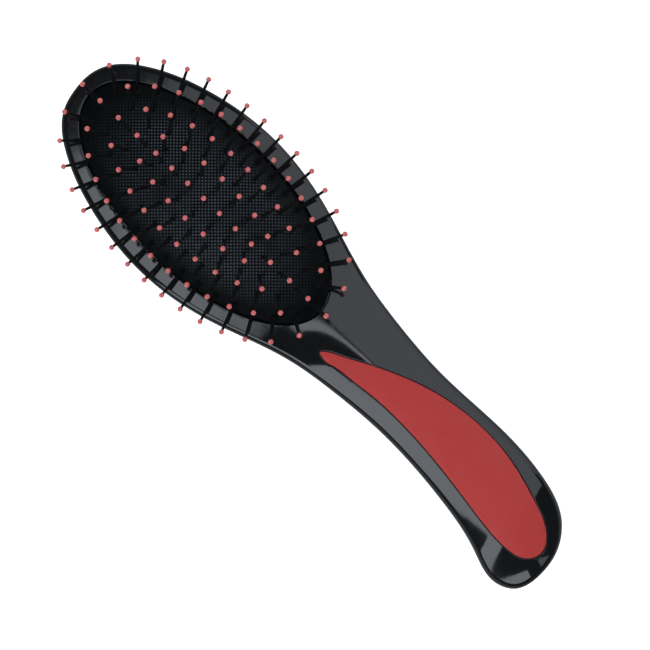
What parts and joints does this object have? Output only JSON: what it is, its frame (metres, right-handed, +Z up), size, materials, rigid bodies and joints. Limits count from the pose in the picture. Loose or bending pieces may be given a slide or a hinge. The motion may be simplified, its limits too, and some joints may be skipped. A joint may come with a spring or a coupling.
{
  "type": "paddle brush",
  "caption": "Oval cushion paddle brush: a two-shell body and handle with an inlaid grip, a domed rubber cushion and rings of ball-tipped pins that sink with it.",
  "frame": {"origin": "on the surface the brush rests on, under the middle of the whole brush", "axes": "+X from the tip of the head to the butt of the handle, +Y to the left, +Z up out of the bristle side"},
  "size_m": [0.245, 0.0732, 0.0459],
  "materials": {
    "body_gloss": "polished black",
    "grip_red": "soft-touch matte red",
    "cushion_rubber": "black with a fine moulded net",
    "pin_black": "satin black",
    "tip_pink": "dipped salmon red"
  },
  "bodies": {
    "body": {"front_shell": "body_gloss", "back_shell": "body_gloss", "grip_insert": "grip_red", "cushion": "cushion_rubber"},
    "centre_row_middle": {"centre_row_middle_pins": "pin_black", "centre_row_middle_tips": "tip_pink"},
    "outer_ring_end": {"outer_ring_end_pins": "pin_black", "outer_ring_end_tips": "tip_pink"},
    "outer_ring_shoulder": {"outer_ring_shoulder_pins": "pin_black", "outer_ring_shoulder_tips": "tip_pink"},
    "outer_ring_side": {"outer_ring_side_pins": "pin_black", "outer_ring_side_tips": "tip_pink"},
    "second_ring_end": {"second_ring_end_pins": "pin_black", "second_ring_end_tips": "tip_pink"},
    "second_ring_shoulder": {"second_ring_shoulder_pins": "pin_black", "second_ring_shoulder_tips": "tip_pink"},
    "second_ring_side": {"second_ring_side_pins": "pin_black", "second_ring_side_tips": "tip_pink"},
    "third_ring_end": {"third_ring_end_pins": "pin_black", "third_ring_end_tips": "tip_pink"},
    "third_ring_shoulder": {"third_ring_shoulder_pins": "pin_black", "third_ring_shoulder_tips": "tip_pink"},
    "third_ring_side": {"third_ring_side_pins": "pin_black", "third_ring_side_tips": "tip_pink"},
    "inner_ring_end": {"inner_ring_end_pins": "pin_black", "inner_ring_end_tips": "tip_pink"},
    "inner_ring_shoulder": {"inner_ring_shoulder_pins": "pin_black", "inner_ring_shoulder_tips": "tip_pink"},
    "inner_ring_side": {"inner_ring_side_pins": "pin_black", "inner_ring_side_tips": "tip_pink"},
    "centre_row_end": {"centre_row_end_pins": "pin_black", "centre_row_end_tips": "tip_pink"}
  },
  "joints": [
    {"name": "centre_row_middle_press", "type": "slide", "parent": "body", "child": "centre_row_middle", "axis": [0, 0, -1], "range_m": [0, 0.005], "stiffness_N_per_m": 150, "deforming": ["cushion"]},
    {"name": "outer_ring_end_press", "type": "slide", "parent": "body", "child": "outer_ring_end", "axis": [0, 0, -1], "range_m": [0, 0.00128], "stiffness_N_per_m": 150},
    {"name": "outer_ring_shoulder_press", "type": "slide", "parent": "body", "child": "outer_ring_shoulder", "axis": [0, 0, -1], "range_m": [0, 0.0013], "stiffness_N_per_m": 150},
    {"name": "outer_ring_side_press", "type": "slide", "parent": "body", "child": "outer_ring_side", "axis": [0, 0, -1], "range_m": [0, 0.0016], "stiffness_N_per_m": 150},
    {"name": "second_ring_end_press", "type": "slide", "parent": "body", "child": "second_ring_end", "axis": [0, 0, -1], "range_m": [0, 0.00248], "stiffness_N_per_m": 150},
    {"name": "second_ring_shoulder_press", "type": "slide", "parent": "body", "child": "second_ring_shoulder", "axis": [0, 0, -1], "range_m": [0, 0.00278], "stiffness_N_per_m": 150},
    {"name": "second_ring_side_press", "type": "slide", "parent": "body", "child": "second_ring_side", "axis": [0, 0, -1], "range_m": [0, 0.00308], "stiffness_N_per_m": 150},
    {"name": "third_ring_end_press", "type": "slide", "parent": "body", "child": "third_ring_end", "axis": [0, 0, -1], "range_m": [0, 0.00342], "stiffness_N_per_m": 150},
    {"name": "third_ring_shoulder_press", "type": "slide", "parent": "body", "child": "third_ring_shoulder", "axis": [0, 0, -1], "range_m": [0, 0.00379], "stiffness_N_per_m": 150},
    {"name": "third_ring_side_press", "type": "slide", "parent": "body", "child": "third_ring_side", "axis": [0, 0, -1], "range_m": [0, 0.00411], "stiffness_N_per_m": 150},
    {"name": "inner_ring_end_press", "type": "slide", "parent": "body", "child": "inner_ring_end", "axis": [0, 0, -1], "range_m": [0, 0.00401], "stiffness_N_per_m": 150},
    {"name": "inner_ring_shoulder_press", "type": "slide", "parent": "body", "child": "inner_ring_shoulder", "axis": [0, 0, -1], "range_m": [0, 0.00432], "stiffness_N_per_m": 150},
    {"name": "inner_ring_side_press", "type": "slide", "parent": "body", "child": "inner_ring_side", "axis": [0, 0, -1], "range_m": [0, 0.00471], "stiffness_N_per_m": 150},
    {"name": "centre_row_end_press", "type": "slide", "parent": "body", "child": "centre_row_end", "axis": [0, 0, -1], "range_m": [0, 0.00466], "stiffness_N_per_m": 150}
  ],
  "couplings": [
    {"joint": "outer_ring_end_press", "follows": "centre_row_middle_press", "ratio": 0.2544},
    {"joint": "outer_ring_shoulder_press", "follows": "centre_row_middle_press", "ratio": 0.259},
    {"joint": "outer_ring_side_press", "follows": "centre_row_middle_press", "ratio": 0.318},
    {"joint": "second_ring_end_press", "follows": "centre_row_middle_press", "ratio": 0.4935},
    {"joint": "second_ring_shoulder_press", "follows": "centre_row_middle_press", "ratio": 0.5533},
    {"joint": "second_ring_side_press", "follows": "centre_row_middle_press", "ratio": 0.613},
    {"joint": "third_ring_end_press", "follows": "centre_row_middle_press", "ratio": 0.682},
    {"joint": "third_ring_shoulder_press", "follows": "centre_row_middle_press", "ratio": 0.7563},
    {"joint": "third_ring_side_press", "follows": "centre_row_middle_press", "ratio": 0.8207},
    {"joint": "inner_ring_end_press", "follows": "centre_row_middle_press", "ratio": 0.7992},
    {"joint": "inner_ring_shoulder_press", "follows": "centre_row_middle_press", "ratio": 0.8621},
    {"joint": "inner_ring_side_press", "follows": "centre_row_middle_press", "ratio": 0.9395},
    {"joint": "centre_row_end_press", "follows": "centre_row_middle_press", "ratio": 0.9295}
  ]
}
